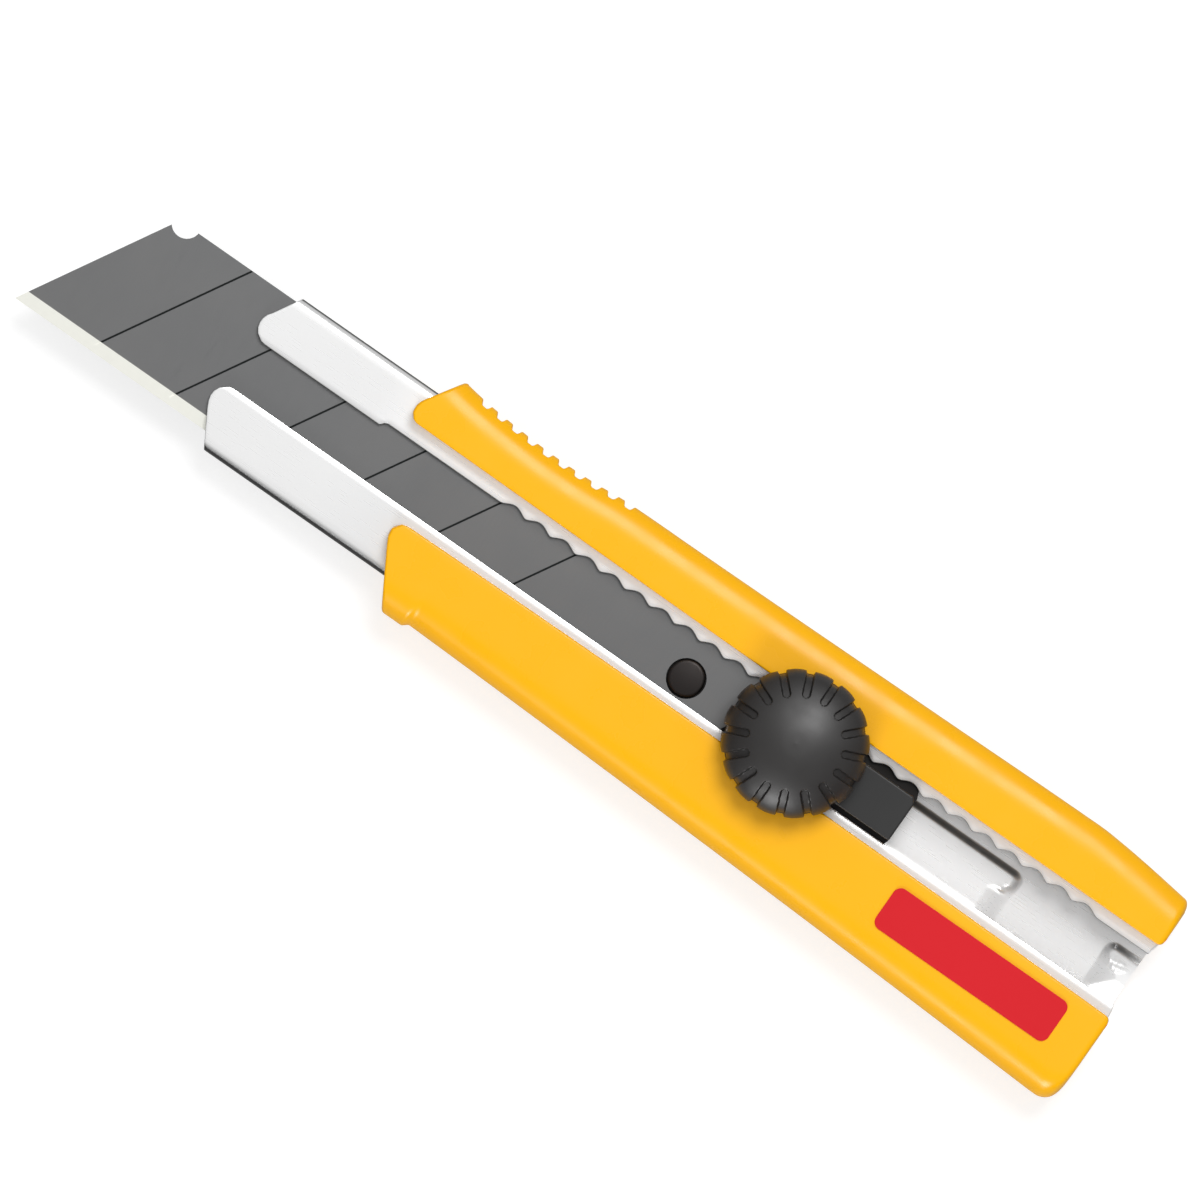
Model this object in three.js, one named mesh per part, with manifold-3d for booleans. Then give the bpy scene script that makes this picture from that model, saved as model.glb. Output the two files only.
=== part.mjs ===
// A heavy-duty snap-off utility knife with a 25 mm blade and a screw lock.
// Millimetres, +Z up. The knife lies on its flat back with the lock knob upwards. The blade tip
// points along -X and the tail along +X. The origin is on the back face, under the middle of the
// handle and the centre line of the slot that the knob travels in.
import * as THREE from "three";
import { mergeVertices } from "three/addons/utils/BufferGeometryUtils.js";
import Module from "manifold-3d";

const wasm = await Module();
wasm.setup();

// Levels above the back face
const LEVEL = {
  handleGroove: 1.6,
  handleFloor: 2.6,
  sheathBottom: 2.9,
  sheathTop: 9.8,
  handleCeiling: 10.1,
  handleTop: 13.1,
  washerBottom: 13.5,
  knobBottom: 14.6,
  knobTop: 23.4,
};
const PAST = 8; // how far a cutter runs past what it cuts
const SLANT = Math.tan(Math.PI / 6); // blade and nose slants lean 30 degrees from square
const FAR = 30; // how far outside the knife the cutting outlines reach

// Handle: a one-piece moulding, open at both ends, with a slot between its two rails
const HANDLE = {
  frontUpper: { x: -68.4, y: 16.8, lean: 0.637 },
  frontLower: { x: -58.5, y: -20.4, lean: SLANT },
  frontTurn: { inset: 1, radius: 1.5 },
  upperNose: { x: -70.7, y: 9.15, r: 1.9, from: 147, to: 270 },
  lowerNose: { x: -62.8, y: -8.85, r: 1.9, from: 90, to: 210 },
  tail: 73,
  backTail: 71.4,
  edgeRadius: 3,
  lowerTailRadius: 3.8,
  upperTail: { height: 14, drop: 1.3, set: 1, radius: 0.8 },
  slotUpper: { turn: 15, height: 6.7 },
  slotTailLower: -7.12,
  slotFlare: 1,
};
// The upper edge dips under the fingers, runs straight, and turns down towards the tail
const UPPER_EDGE = [
  [-72, 18],
  [-67.9, 17],
  [-64.7, 16.5],
  [-57, 15.8],
  [-48, 15.5],
  [-42, 15.7],
  [-37.3, 16.08],
  [-33, 16.18],
  [-26, 16.2],
  [24, 16.65],
  [52, 16.93],
  [55, 16.93],
  [58, 16.72],
  [76, 14.6],
];
const EDGE_STATIONS = 44;
const EDGE_SAMPLES = 400; // for finding the upper edge's height at a flute
// The lower edge and the slot's lower edge are shallow arcs: height, slope and bend at x
const LOWER_EDGE = { x: 8, y: -21.42, slope: -0.0346, bend: -0.000085 };
const SLOT_LOWER = { x: -5, y: -6.5, slope: 0, bend: -0.000111 };
const SLOT_STATIONS = 8;
const GRIP = { count: 10, first: -63.6, pitch: 3.07, width: 1.5, depth: 0.8, corner: 0.35 };
const FRONT_PAD = { drop: 0.9, length: 3.6, ramp: 1.3, inside: 4, corner: 0.4 };

// Sheath: a steel channel with lips turned in over the blade
const SHEATH = {
  upper: 13.13,
  lower: -15.43,
  sheet: 0.7,
  bend: 1.4,
  nose: -100.5,
  upperCorner: -97,
  lowerCorner: -96.2,
  upperNoseRadius: 2.8,
  lowerNoseRadius: 2.7,
  tail: 72.5,
  lipUpperFront: 3.72,
  lipStep: -75.9,
  lipStepRun: 1.2,
  lipUpper: 4.6,
  lipLowerFront: -4.75,
  lipLowerTail: -5.06,
  lipCut: 2,
};
const WAVE = { count: 24, start: -53, pitch: 4.79, depth: 0.86, points: 6, power: 1.4 };
// Two troughs pressed down into the sheath floor for the foot of the clamp screw
const TROUGH = { front: -61.8, rear: 49.2, half: 3.6, radius: 1.8, depth: 1 };
const TAIL_TROUGH = { front: 65.9, lower: -1.1, upper: 3.4 };
const CLEAR = 0.3; // between pieces that slide or sit in one another

// Blade: standard 25 mm snap-off stock
const BLADE = {
  tip: -134.5,
  length: 126,
  edge: -12.82,
  width: 25,
  thickness: 0.7,
  bottom: 8.15,
  bevel: 2.06,
  landing: 0.04,
  scorePitch: 14.4,
  firstScore: 14,
  scores: 6,
  scoreWidth: 0.3,
  scoreDepth: 0.15,
  scoreReach: 1,
  hole: 3.24,
  bite: { x: -118.9, rise: 0.25, radius: 2.43 },
};
const PIN = {
  x: -12.9,
  y: -1.42,
  collar: 3,
  shank: 2,
  foot: 4.8,
  seat: 7.87,
  top: 9,
  chamfer: 0.15,
};

// Slider: a wide base under the lips and a block that fills the gap between them
const SLIDER = {
  front: -18.8,
  rear: 28,
  lower: -14.4,
  upper: 12.1,
  bottom: 3.9,
  bladeSeat: 7.85,
  top: 8.8,
  cornerRadius: 1.5,
  chamferX: 3.4,
};
const BLOCK = {
  front: 2,
  lower: -4.2,
  upper: 3.8,
  bottom: 8.85,
  top: 12.6,
  chamfer: 0.7,
  corner: 0.3,
};

// Screw lock
const LOCK_X = 7.04;
const SCREW = { shank: 2.95, head: 6.2, foot: 3, headTop: 5, top: 20.4, bore: 3.25 };
const WASHER = { radius: 9.8, bore: 3.3, thickness: 0.8, sides: 48 };
const INSERT = { radius: 5, bore: 3.25, bottom: 14.9, top: 20.6, sides: 32 };
const KNOB = {
  sides: 64,
  radius: 11.8,
  foot: 11.2,
  pocket: 5.3,
  pocketTop: 20.9,
  grooves: 16,
  grooveWidth: 1.25,
  grooveStart: 7.5,
  grooveDepth: 0.7,
};
// The crown of the knob, from the side up to the axis, as radius and height
const CROWN = [
  [11.8, 15.3],
  [11.7, 17.2],
  [11.1, 19],
  [9.8, 20.7],
  [7.5, 22.2],
  [4.5, 23.1],
];
const LABEL = { x: 49.85, y: -12.75, length: 33.2, width: 7.6, radius: 1.4, thickness: 0.2 };
const LABEL_GAP = 0.02;

// ---- Tools ----

// A closed geometry as a solid that can be joined and cut.
function solid(geometry) {
  const bare = geometry.clone();
  bare.deleteAttribute("normal");
  bare.deleteAttribute("uv");
  const merged = mergeVertices(bare, 1e-4);
  return new wasm.Manifold(
    new wasm.Mesh({
      numProp: 3,
      vertProperties: merged.attributes.position.array,
      triVerts: new Uint32Array(merged.index.array),
    }),
  );
}

// A named mesh from a solid.
function piece(name, body, material) {
  const { vertProperties, triVerts } = body.getMesh();
  const geometry = new THREE.BufferGeometry();
  geometry.setAttribute("position", new THREE.BufferAttribute(vertProperties, 3));
  geometry.setIndex(new THREE.BufferAttribute(triVerts, 1));
  const flat = geometry.toNonIndexed();
  flat.computeVertexNormals();
  const mesh = new THREE.Mesh(flat, material);
  mesh.name = name;
  return mesh;
}

// Points of a closed outline through [x, y, radius] corners, each rounded by an arc.
function rounded(corners) {
  const points = [];
  corners.forEach(([x, y, radius = 0], i) => {
    const here = new THREE.Vector2(x, y);
    if (!radius) {
      points.push(here);
      return;
    }
    const [lastX, lastY] = corners.at(i - 1);
    const [nextX, nextY] = corners[(i + 1) % corners.length];
    const back = new THREE.Vector2(lastX, lastY).sub(here).normalize();
    const ahead = new THREE.Vector2(nextX, nextY).sub(here).normalize();
    const half = Math.acos(back.dot(ahead)) / 2;
    const centre = back.clone().add(ahead).setLength(radius / Math.sin(half)).add(here);
    const from = here.clone().addScaledVector(back, radius / Math.tan(half)).sub(centre);
    const turn = Math.sign(ahead.cross(back)) * (Math.PI - 2 * half);
    const steps = Math.max(2, Math.ceil(Math.abs(turn) / (Math.PI / 8)));
    for (let k = 0; k <= steps; k++) {
      const point = from.clone().rotateAround(new THREE.Vector2(), (turn * k) / steps);
      points.push(point.add(centre));
    }
  });
  return points;
}

// Points of an arc from one angle to another, in degrees anticlockwise from +X.
function arc({ x, y, r, from, to }) {
  const steps = 6;
  return Array.from({ length: steps + 1 }, (_, k) => {
    const angle = THREE.MathUtils.degToRad(from + ((to - from) * k) / steps);
    return new THREE.Vector2(x + r * Math.cos(angle), y + r * Math.sin(angle));
  });
}

// An upright prism of a plan outline between two levels.
function prism(points, low, high) {
  const options = { depth: high - low, bevelEnabled: false };
  const geometry = new THREE.ExtrudeGeometry(new THREE.Shape(points), options);
  return solid(geometry.translate(0, 0, low));
}

// A long bar along X from a cross-section in Y and Z.
function bar(shape, start, length) {
  const geometry = new THREE.ExtrudeGeometry(shape, { depth: length, bevelEnabled: false });
  const alongX = new THREE.Matrix4().makeBasis(
    new THREE.Vector3(0, 1, 0),
    new THREE.Vector3(0, 0, 1),
    new THREE.Vector3(1, 0, 0),
  );
  return solid(geometry.applyMatrix4(alongX).translate(start, 0, 0));
}

// The height of a shallow arc at a place along the knife.
function shallow({ x: middle, y, slope, bend }, x) {
  return y + slope * (x - middle) + bend * (x - middle) ** 2;
}

// A box between two corners.
function block([x0, y0, z0], [x1, y1, z1]) {
  const geometry = new THREE.BoxGeometry(x1 - x0, y1 - y0, z1 - z0);
  return solid(geometry.translate((x0 + x1) / 2, (y0 + y1) / 2, (z0 + z1) / 2));
}

// An upright cylinder.
function rod(x, y, radius, low, high) {
  const geometry = new THREE.CylinderGeometry(radius, radius, high - low, 32);
  return solid(geometry.rotateX(Math.PI / 2).translate(x, y, (low + high) / 2));
}

// A turned solid about an upright axis, from a profile of [radius, height] points.
function turned(profile, x, y, sides) {
  const points = profile.map(([r, z]) => new THREE.Vector2(r, z));
  const geometry = new THREE.LatheGeometry(points, sides);
  return solid(geometry.rotateX(Math.PI / 2).translate(x, y, 0));
}

// A rounded plan rectangle.
function roundedBox(x0, x1, y0, y1, radius) {
  return rounded([
    [x0, y0, radius],
    [x1, y0, radius],
    [x1, y1, radius],
    [x0, y1, radius],
  ]);
}

// ---- Handle ----

// The handle's cross-section at one place along it, with rounded outer edges.
function handleSection(x, low, high) {
  const outline = roundedBox(low, high, 0, LEVEL.handleTop, HANDLE.edgeRadius);
  return outline.map((p) => new THREE.Vector3(x, p.x, p.y));
}

// A solid skinned over cross-sections that all hold the same number of points.
function skinned(sections) {
  const count = sections[0].length;
  const positions = sections.flat().flatMap((p) => [p.x, p.y, p.z]);
  const index = [];
  for (let s = 0; s + 1 < sections.length; s++) {
    for (let i = 0; i < count; i++) {
      const here = s * count + i;
      const beside = s * count + ((i + 1) % count);
      index.push(here, here + count, beside);
      index.push(beside, here + count, beside + count);
    }
  }
  const last = (sections.length - 1) * count;
  for (let i = 1; i + 1 < count; i++) {
    index.push(0, i, i + 1);
    index.push(last, last + i + 1, last + i);
  }
  const geometry = new THREE.BufferGeometry();
  const values = new Float32Array(positions);
  geometry.setAttribute("position", new THREE.BufferAttribute(values, 3));
  geometry.setIndex(index.reverse());
  return solid(geometry);
}

// The plan of the whole handle, whose slanted front makes a shallow V.
function handlePlan() {
  const { frontUpper: u, frontLower: l, frontTurn, upperNose, lowerNose, tail } = HANDLE;
  const { upperTail, lowerTailRadius } = HANDLE;
  const upperX = (y) => u.x - (u.y - y) * u.lean;
  const lowerX = (y) => l.x - (y - l.y) * l.lean;
  const upperTurn = upperNose.y - frontTurn.inset;
  const lowerTurn = lowerNose.y + frontTurn.inset;
  const lowerCorner = shallow(LOWER_EDGE, tail - lowerTailRadius);
  return rounded([
    [upperX(FAR), FAR],
    [upperX(upperTurn), upperTurn, frontTurn.radius],
    [lowerX(lowerTurn), lowerTurn, frontTurn.radius],
    [lowerX(-FAR), -FAR],
    [tail - lowerTailRadius - CLEAR, -FAR],
    [tail - lowerTailRadius - CLEAR, lowerCorner],
    [tail, lowerCorner, lowerTailRadius],
    [tail, upperTail.height, upperTail.radius],
    [tail - upperTail.set, upperTail.height + upperTail.drop, upperTail.radius],
    [tail - 2 * upperTail.set, FAR],
  ]);
}

// The slot between the rails, with rounded rail noses at the front and a flare at the tail.
function slotPlan() {
  const { upperNose, lowerNose, tail, slotFlare, slotUpper } = HANDLE;
  const front = upperNose.x - PAST;
  const upperArc = arc(upperNose);
  const lowerArc = arc(lowerNose);
  const mouth = tail - slotFlare;
  const lowerEdge = Array.from({ length: SLOT_STATIONS }, (_, k) => {
    const x = mouth + ((lowerNose.x - mouth) * k) / SLOT_STATIONS;
    return new THREE.Vector2(x, shallow(SLOT_LOWER, x));
  });
  return [
    new THREE.Vector2(front, upperArc[0].y),
    ...upperArc,
    new THREE.Vector2(slotUpper.turn, slotUpper.height),
    new THREE.Vector2(mouth, slotUpper.height),
    new THREE.Vector2(tail + slotFlare, slotUpper.height + 2 * slotFlare),
    new THREE.Vector2(tail + slotFlare, HANDLE.slotTailLower - 2 * slotFlare),
    ...lowerEdge,
    ...lowerArc,
    new THREE.Vector2(front, lowerArc.at(-1).y),
  ].reverse();
}

// The pad at the lower front corner that stops a finger.
function frontPad() {
  const { frontLower: l } = HANDLE;
  const { drop, length, ramp, inside, corner } = FRONT_PAD;
  const end = l.x + length;
  const points = rounded([
    [l.x - (inside + drop) * l.lean, l.y + inside + drop],
    [l.x, l.y, corner],
    [end, l.y, corner],
    [end + ramp, l.y + drop],
    [end + ramp, l.y + inside],
  ]);
  return prism(points, HANDLE.edgeRadius, LEVEL.handleTop - HANDLE.edgeRadius);
}

function handleBody() {
  const edge = new THREE.SplineCurve(UPPER_EDGE.map(([x, y]) => new THREE.Vector2(x, y)));
  const stations = edge.getPoints(EDGE_STATIONS);
  const sections = stations.map((p) => handleSection(p.x, shallow(LOWER_EDGE, p.x), p.y));
  let body = skinned(sections).add(frontPad());
  body = body.intersect(prism(handlePlan(), -PAST, LEVEL.handleTop + PAST));
  const { upper, lower, nose } = SHEATH;
  const tail = HANDLE.tail + PAST;
  const channel = block(
    [nose, lower - CLEAR, LEVEL.handleFloor],
    [tail, upper + CLEAR, LEVEL.handleCeiling],
  );
  const slot = prism(slotPlan(), LEVEL.handleFloor, LEVEL.handleTop + PAST);
  const backNotch = block(
    [HANDLE.backTail, HANDLE.slotTailLower, -PAST],
    [tail, HANDLE.slotUpper.height, LEVEL.handleCeiling],
  );
  body = body.subtract(channel).subtract(slot).subtract(backNotch);
  troughOutlines(SHEATH.sheet + CLEAR).forEach((outline) => {
    body = body.subtract(prism(outline, LEVEL.handleGroove, LEVEL.handleCeiling));
  });
  gripNotches(edge).forEach((notch) => {
    body = body.subtract(notch);
  });
  return body;
}

// Shallow upright flutes along the upper edge, between the finger ribs.
function gripNotches(edge) {
  const samples = edge.getPoints(EDGE_SAMPLES);
  return Array.from({ length: GRIP.count }, (_, i) => {
    const x = GRIP.first + i * GRIP.pitch;
    const nearest = samples.find((p) => p.x >= x);
    const half = GRIP.width / 2;
    const floor = nearest.y - GRIP.depth;
    const outline = rounded([
      [x - half, FAR],
      [x - half, floor, GRIP.corner],
      [x + half, floor, GRIP.corner],
      [x + half, FAR],
    ]);
    return prism(outline, -PAST, LEVEL.handleTop + PAST);
  });
}

// ---- Sheath ----

// The two troughs' outlines, grown by a margin. The tail one runs out of the tail end.
function troughOutlines(margin) {
  const { front, rear, half, radius } = TROUGH;
  const grown = radius + margin;
  return [
    roundedBox(front - margin, rear + margin, -half - margin, half + margin, grown),
    roundedBox(
      TAIL_TROUGH.front - margin,
      HANDLE.tail + PAST,
      TAIL_TROUGH.lower - margin,
      TAIL_TROUGH.upper + margin,
      grown,
    ),
  ];
}

// The gap between the lips, with round tongue noses, a step and the wavy rack.
function lipGapPlan() {
  const s = SHEATH;
  const front = s.nose - PAST;
  const upperNose = { x: s.nose + s.upperNoseRadius, y: s.lipUpperFront + s.upperNoseRadius };
  const lowerNose = { x: s.nose + s.lowerNoseRadius, y: s.lipLowerFront - s.lowerNoseRadius };
  const upperArc = arc({ ...upperNose, r: s.upperNoseRadius, from: 180, to: 270 });
  const lowerArc = arc({ ...lowerNose, r: s.lowerNoseRadius, from: 90, to: 180 });
  return [
    new THREE.Vector2(front, upperNose.y),
    ...upperArc,
    new THREE.Vector2(s.lipStep, s.lipUpperFront),
    new THREE.Vector2(s.lipStep + s.lipStepRun / 2, (s.lipUpperFront + s.lipUpper) / 2),
    new THREE.Vector2(s.lipStep + s.lipStepRun, s.lipUpper),
    ...wavePoints(),
    new THREE.Vector2(s.tail + PAST, s.lipUpper),
    new THREE.Vector2(s.tail + PAST, s.lipLowerTail),
    ...lowerArc,
    new THREE.Vector2(front, lowerNose.y),
  ].reverse();
}

// The rack: round bites between pointed teeth.
function wavePoints() {
  const steps = WAVE.count * WAVE.points;
  return Array.from({ length: steps + 1 }, (_, k) => {
    const swing = Math.abs(Math.sin((Math.PI * k) / WAVE.points)) ** WAVE.power;
    const x = WAVE.start + (k * WAVE.pitch) / WAVE.points;
    return new THREE.Vector2(x, SHEATH.lipUpper + WAVE.depth * swing);
  });
}

// The tube that the sheath is folded into, before its lips are cut apart.
function sheathTube() {
  const { upper, lower, sheet, bend, nose, tail } = SHEATH;
  const { sheathBottom: low, sheathTop: high } = LEVEL;
  const shape = new THREE.Shape(roundedBox(lower, upper, low, high, bend));
  const inside = [lower + sheet, upper - sheet, low + sheet, high - sheet];
  shape.holes.push(new THREE.Path(roundedBox(...inside, bend - sheet)));
  return bar(shape, nose - PAST, tail - nose + PAST);
}

// The plan of the sheath: a slanted, rounded front and a square tail.
function sheathPlan() {
  const s = SHEATH;
  const upperTurn = s.upper - (s.upperCorner - s.nose) / SLANT;
  const lowerTurn = s.lower + (s.lowerCorner - s.nose) / SLANT;
  return rounded([
    [s.upperCorner + (FAR - s.upper) * SLANT, FAR],
    [s.nose, upperTurn, s.upperNoseRadius],
    [s.nose, lowerTurn, s.lowerNoseRadius],
    [s.lowerCorner + (FAR + s.lower) * SLANT, -FAR],
    [s.tail, -FAR],
    [s.tail, FAR],
  ]);
}

function sheath() {
  const { sheathBottom: bottom, sheathTop: top } = LEVEL;
  const floor = bottom + SHEATH.sheet;
  const plan = sheathPlan();
  let body = sheathTube();
  troughOutlines(SHEATH.sheet).forEach((outline) => {
    body = body.add(prism(outline, bottom - TROUGH.depth, floor));
  });
  troughOutlines(0).forEach((outline) => {
    body = body.subtract(prism(outline, floor - TROUGH.depth, floor + SHEATH.sheet));
  });
  body = body.intersect(prism(plan, -PAST, top + PAST));
  return body.subtract(prism(lipGapPlan(), top - SHEATH.lipCut, top + PAST));
}

// ---- Blade ----

function bladePlan() {
  const { tip, edge, width, length } = BLADE;
  const lean = width * SLANT;
  return [
    new THREE.Vector2(tip, edge),
    new THREE.Vector2(tip + length, edge),
    new THREE.Vector2(tip + length + lean, edge + width),
    new THREE.Vector2(tip + lean, edge + width),
  ];
}

// A wedge that grinds one face of the cutting edge down to a thin landing.
function edgeGrind(side) {
  const { tip, edge, thickness, bottom, bevel, landing, length } = BLADE;
  const middle = bottom + thickness / 2;
  const face = middle + (side * thickness) / 2;
  const ground = middle + (side * landing) / 2;
  const profile = [
    new THREE.Vector2(edge + bevel, face),
    new THREE.Vector2(edge - 1, ground - (side * (thickness - landing)) / 2 / bevel),
    new THREE.Vector2(edge - 1, face + side),
    new THREE.Vector2(edge + bevel, face + side),
  ];
  return bar(new THREE.Shape(profile), tip - PAST, length + 2 * PAST);
}

// A shallow score line across the blade, where a used segment is snapped off.
function scoreLine(index) {
  const { tip, firstScore, scorePitch, edge, width } = BLADE;
  const { scoreWidth, scoreDepth, scoreReach: reach } = BLADE;
  const top = BLADE.bottom + BLADE.thickness;
  const x = tip + firstScore + index * scorePitch;
  const half = scoreWidth / 2;
  const lowX = x - reach * SLANT;
  const highX = x + (width + reach) * SLANT;
  const points = [
    new THREE.Vector2(lowX - half, edge - reach),
    new THREE.Vector2(lowX + half, edge - reach),
    new THREE.Vector2(highX + half, edge + width + reach),
    new THREE.Vector2(highX - half, edge + width + reach),
  ];
  return prism(points, top - scoreDepth, top + 1);
}

function blade() {
  const top = BLADE.bottom + BLADE.thickness;
  const back = BLADE.edge + BLADE.width;
  let body = prism(bladePlan(), BLADE.bottom, top);
  body = body.subtract(edgeGrind(1)).subtract(edgeGrind(-1));
  for (let i = 0; i < BLADE.scores; i++) {
    body = body.subtract(scoreLine(i));
  }
  const { x, rise, radius } = BLADE.bite;
  const bite = rod(x, back + rise, radius, BLADE.bottom - 1, top + 1);
  const hole = rod(PIN.x, PIN.y, BLADE.hole, BLADE.bottom - 1, top + 1);
  return body.subtract(bite).subtract(hole);
}

// ---- Slider ----

// The pin that stands up through the blade's hole.
function bladePin() {
  const { x, y, collar, shank, foot, seat, top, chamfer } = PIN;
  return turned(
    [
      [0, foot],
      [shank, foot],
      [shank, seat],
      [collar, seat],
      [collar, top - chamfer],
      [collar - chamfer, top],
      [0, top],
    ],
    x,
    y,
    32,
  );
}

function sliderPlan() {
  const s = SLIDER;
  return rounded([
    [s.front, s.lower, s.cornerRadius],
    [s.rear - s.chamferX, s.lower, s.cornerRadius],
    [s.rear, BLOCK.lower],
    [s.rear, BLOCK.upper],
    [s.rear - s.chamferX, s.upper, s.cornerRadius],
    [s.front, s.upper, s.cornerRadius],
  ]);
}

// The base lies under the blade in front, and is full height behind the blade's tail.
function sliderBase() {
  const s = SLIDER;
  const tailX = (y) => BLADE.tip + BLADE.length + (y - BLADE.edge) * SLANT + CLEAR;
  const seat = [
    new THREE.Vector2(s.front - PAST, s.lower - 1),
    new THREE.Vector2(tailX(s.lower - 1), s.lower - 1),
    new THREE.Vector2(tailX(s.upper + 1), s.upper + 1),
    new THREE.Vector2(s.front - PAST, s.upper + 1),
  ];
  const half = SCREW.head / 2 + CLEAR;
  const pocketTop = SCREW.headTop + CLEAR;
  const headPocket = block(
    [LOCK_X - half, -half, s.bottom - 1],
    [LOCK_X + half, half, pocketTop],
  );
  const pinBore = rod(PIN.x, PIN.y, PIN.shank + CLEAR, PIN.foot - CLEAR, s.top + 1);
  return prism(sliderPlan(), s.bottom, s.top)
    .subtract(prism(seat, s.bladeSeat, s.top + 1))
    .subtract(headPocket)
    .subtract(rod(LOCK_X, 0, SCREW.bore, s.bottom, s.top + 1))
    .subtract(pinBore);
}

function sliderBlock() {
  const { front, lower, upper, bottom, top, chamfer, corner } = BLOCK;
  const rear = SLIDER.rear;
  const plan = rounded([
    [front, lower, chamfer],
    [rear, lower, corner],
    [rear, upper - chamfer],
    [rear - chamfer, upper],
    [front, upper, chamfer],
  ]);
  return prism(plan, bottom, top).subtract(rod(LOCK_X, 0, SCREW.bore, bottom - 1, top + 1));
}

// ---- Screw lock ----

// The screw's square head can't turn in the slider's pocket, and its foot runs in the trough.
function clampScrew() {
  const half = SCREW.head / 2;
  const head = block([LOCK_X - half, -half, SCREW.foot], [LOCK_X + half, half, SCREW.headTop]);
  return head.add(rod(LOCK_X, 0, SCREW.shank, SCREW.headTop - 1, SCREW.top));
}

// A flat ring from a closed rectangular profile.
function ring(inner, outer, low, high, sides) {
  const profile = [
    [inner, low],
    [outer, low],
    [outer, high],
    [inner, high],
    [inner, low],
  ];
  return turned(profile, LOCK_X, 0, sides);
}

function lockWasher() {
  const { bore, radius, thickness } = WASHER;
  return ring(bore, radius, LEVEL.washerBottom, LEVEL.washerBottom + thickness, WASHER.sides);
}

function knobInsert() {
  return ring(INSERT.bore, INSERT.radius, INSERT.bottom, INSERT.top, INSERT.sides);
}

// A groove that runs out over the crown and down the side, between two finger lobes.
function knobGroove(index) {
  const { grooveStart, grooveDepth, grooveWidth, radius } = KNOB;
  const outside = radius + PAST;
  const above = LEVEL.knobTop + PAST;
  const below = LEVEL.knobBottom - 1;
  const floor = CROWN.filter(([r]) => r >= grooveStart);
  const points = [
    new THREE.Vector2(grooveStart, above),
    ...floor.map(([r, z]) => new THREE.Vector2(r - grooveDepth / 2, z - grooveDepth)).reverse(),
    new THREE.Vector2(radius - grooveDepth / 2, below),
    new THREE.Vector2(outside, below),
    new THREE.Vector2(outside, above),
  ];
  const options = { depth: grooveWidth, bevelEnabled: false };
  const geometry = new THREE.ExtrudeGeometry(new THREE.Shape(points), options);
  geometry.translate(0, 0, -grooveWidth / 2).rotateX(Math.PI / 2);
  const pitch = (2 * Math.PI) / KNOB.grooves;
  return solid(geometry.rotateZ(index * pitch).translate(LOCK_X, 0, 0));
}

function lockKnob() {
  const { foot, pocket, pocketTop } = KNOB;
  const profile = [
    [0, pocketTop],
    [pocket, pocketTop],
    [pocket, LEVEL.knobBottom],
    [foot, LEVEL.knobBottom],
    ...CROWN,
    [0, LEVEL.knobTop],
  ];
  let body = turned(profile, LOCK_X, 0, KNOB.sides);
  for (let i = 0; i < KNOB.grooves; i++) {
    body = body.subtract(knobGroove(i));
  }
  return body;
}

// ---- Label ----

function label() {
  const { x, y, length, width, radius, thickness } = LABEL;
  const low = LEVEL.handleTop + LABEL_GAP;
  const plan = roundedBox(x - length / 2, x + length / 2, y - width / 2, y + width / 2, radius);
  return prism(plan, low, low + thickness);
}

// ---- Materials ----

function finish(color, roughness, metalness) {
  return new THREE.MeshStandardMaterial({ color, roughness, metalness });
}

const FINISH = {
  handle: finish(0xffbe1e, 0.38, 0),
  sheath: finish(0xe9e9e9, 0.3, 0.9),
  blade: finish(0x737373, 0.35, 0.9),
  pin: finish(0x44403f, 0.4, 0.6),
  base: finish(0x2c2928, 0.5, 0),
  block: finish(0x3f3f3f, 0.45, 0),
  screw: finish(0xb8b8b4, 0.35, 0.9),
  washer: finish(0xc4c4c0, 0.3, 0.9),
  insert: finish(0xc9a24a, 0.35, 0.9),
  knob: finish(0x2a2626, 0.4, 0),
  label: finish(0xd9262c, 0.45, 0),
};

const housing = new THREE.Group();
housing.add(
  piece("handle_body", handleBody(), FINISH.handle),
  piece("sheath", sheath(), FINISH.sheath),
  piece("label", label(), FINISH.label),
);

const slider = new THREE.Group();
slider.add(
  piece("slider_base", sliderBase(), FINISH.base),
  piece("slider_block", sliderBlock(), FINISH.block),
  piece("blade", blade(), FINISH.blade),
  piece("blade_pin", bladePin(), FINISH.pin),
  piece("clamp_screw", clampScrew(), FINISH.screw),
);

const lock = new THREE.Group();
lock.add(
  piece("lock_washer", lockWasher(), FINISH.washer),
  piece("lock_knob", lockKnob(), FINISH.knob),
  piece("knob_insert", knobInsert(), FINISH.insert),
);

const knife = new THREE.Group();
knife.add(housing, slider, lock);
export default knife;
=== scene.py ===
"""A heavy-duty snap-off utility knife with a screw lock, seen straight from above.

Lengths in this script are millimetres in the CAD frame, turned into metres when a mesh is made:
-X to the blade tip, +Y to the blade's back and the finger grips, +Z to the lock knob.
"""

import math

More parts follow.
